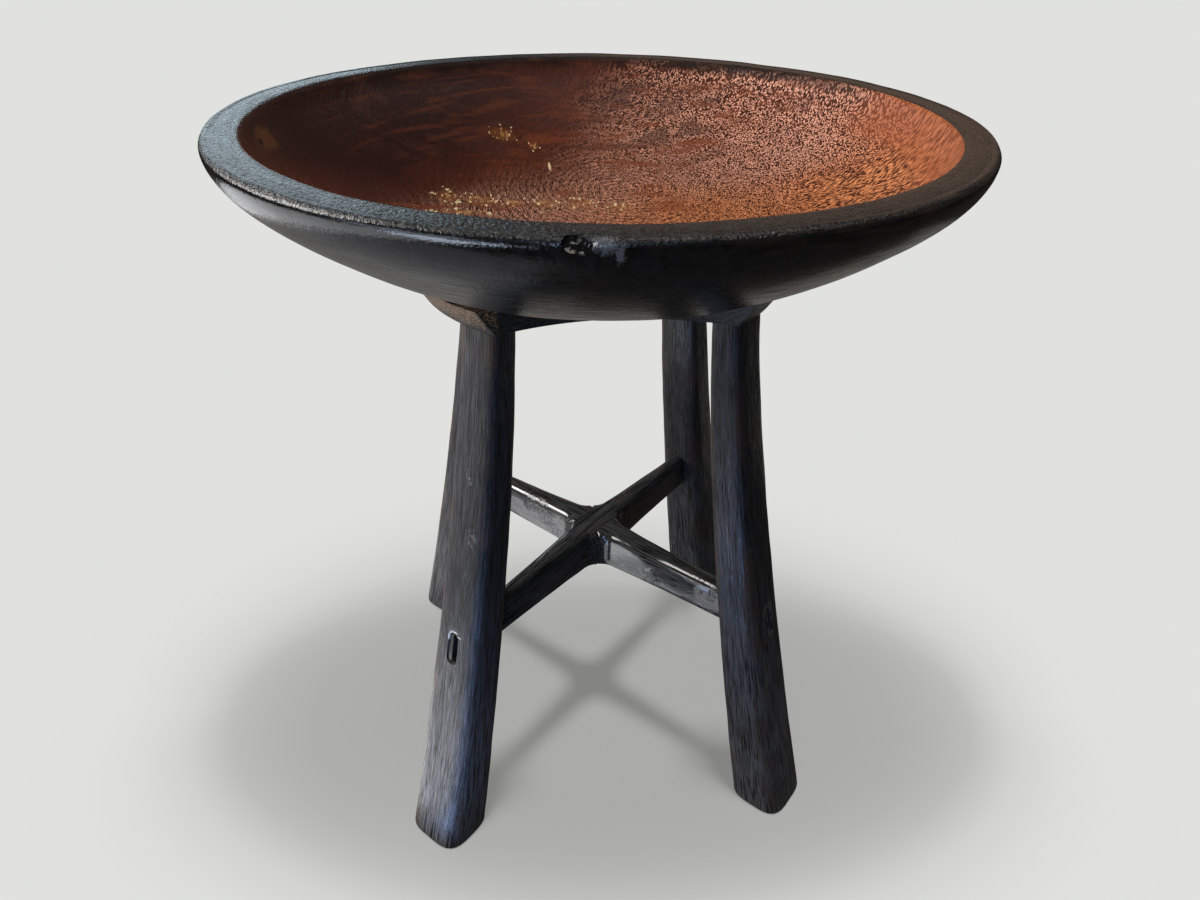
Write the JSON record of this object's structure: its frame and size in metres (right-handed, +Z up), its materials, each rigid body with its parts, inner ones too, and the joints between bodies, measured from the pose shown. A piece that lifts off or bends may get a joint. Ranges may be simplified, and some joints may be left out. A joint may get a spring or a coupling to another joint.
{
  "type": "side table",
  "caption": "Low side table with a wide shallow carved wooden bowl for a top, on splayed legs tied by a crossed stretcher.",
  "frame": {"origin": "on the floor, under the middle of the bowl", "axes": "+Z up, -Y towards the front, +X to the right; the legs stand on the diagonals"},
  "size_m": [0.563, 0.563, 0.617],
  "materials": {
    "bowl_wood": "oiled inside, blackened satin outside",
    "black_wood": "blackened satin",
    "wedge_wood": "blackened matt",
    "screw_steel": "bright zinc"
  },
  "bodies": {
    "root": {"bowl": "bowl_wood", "bearer_plate": "black_wood", "front_left_leg": "black_wood", "front_right_leg": "black_wood", "back_right_leg": "black_wood", "back_left_leg": "black_wood", "upper_rail": "black_wood", "lower_rail": "black_wood", "front_left_wedge": "wedge_wood", "front_right_wedge": "wedge_wood", "back_right_wedge": "wedge_wood", "back_left_wedge": "wedge_wood", "bowl_screws": "screw_steel"}
  },
  "joints": []
}
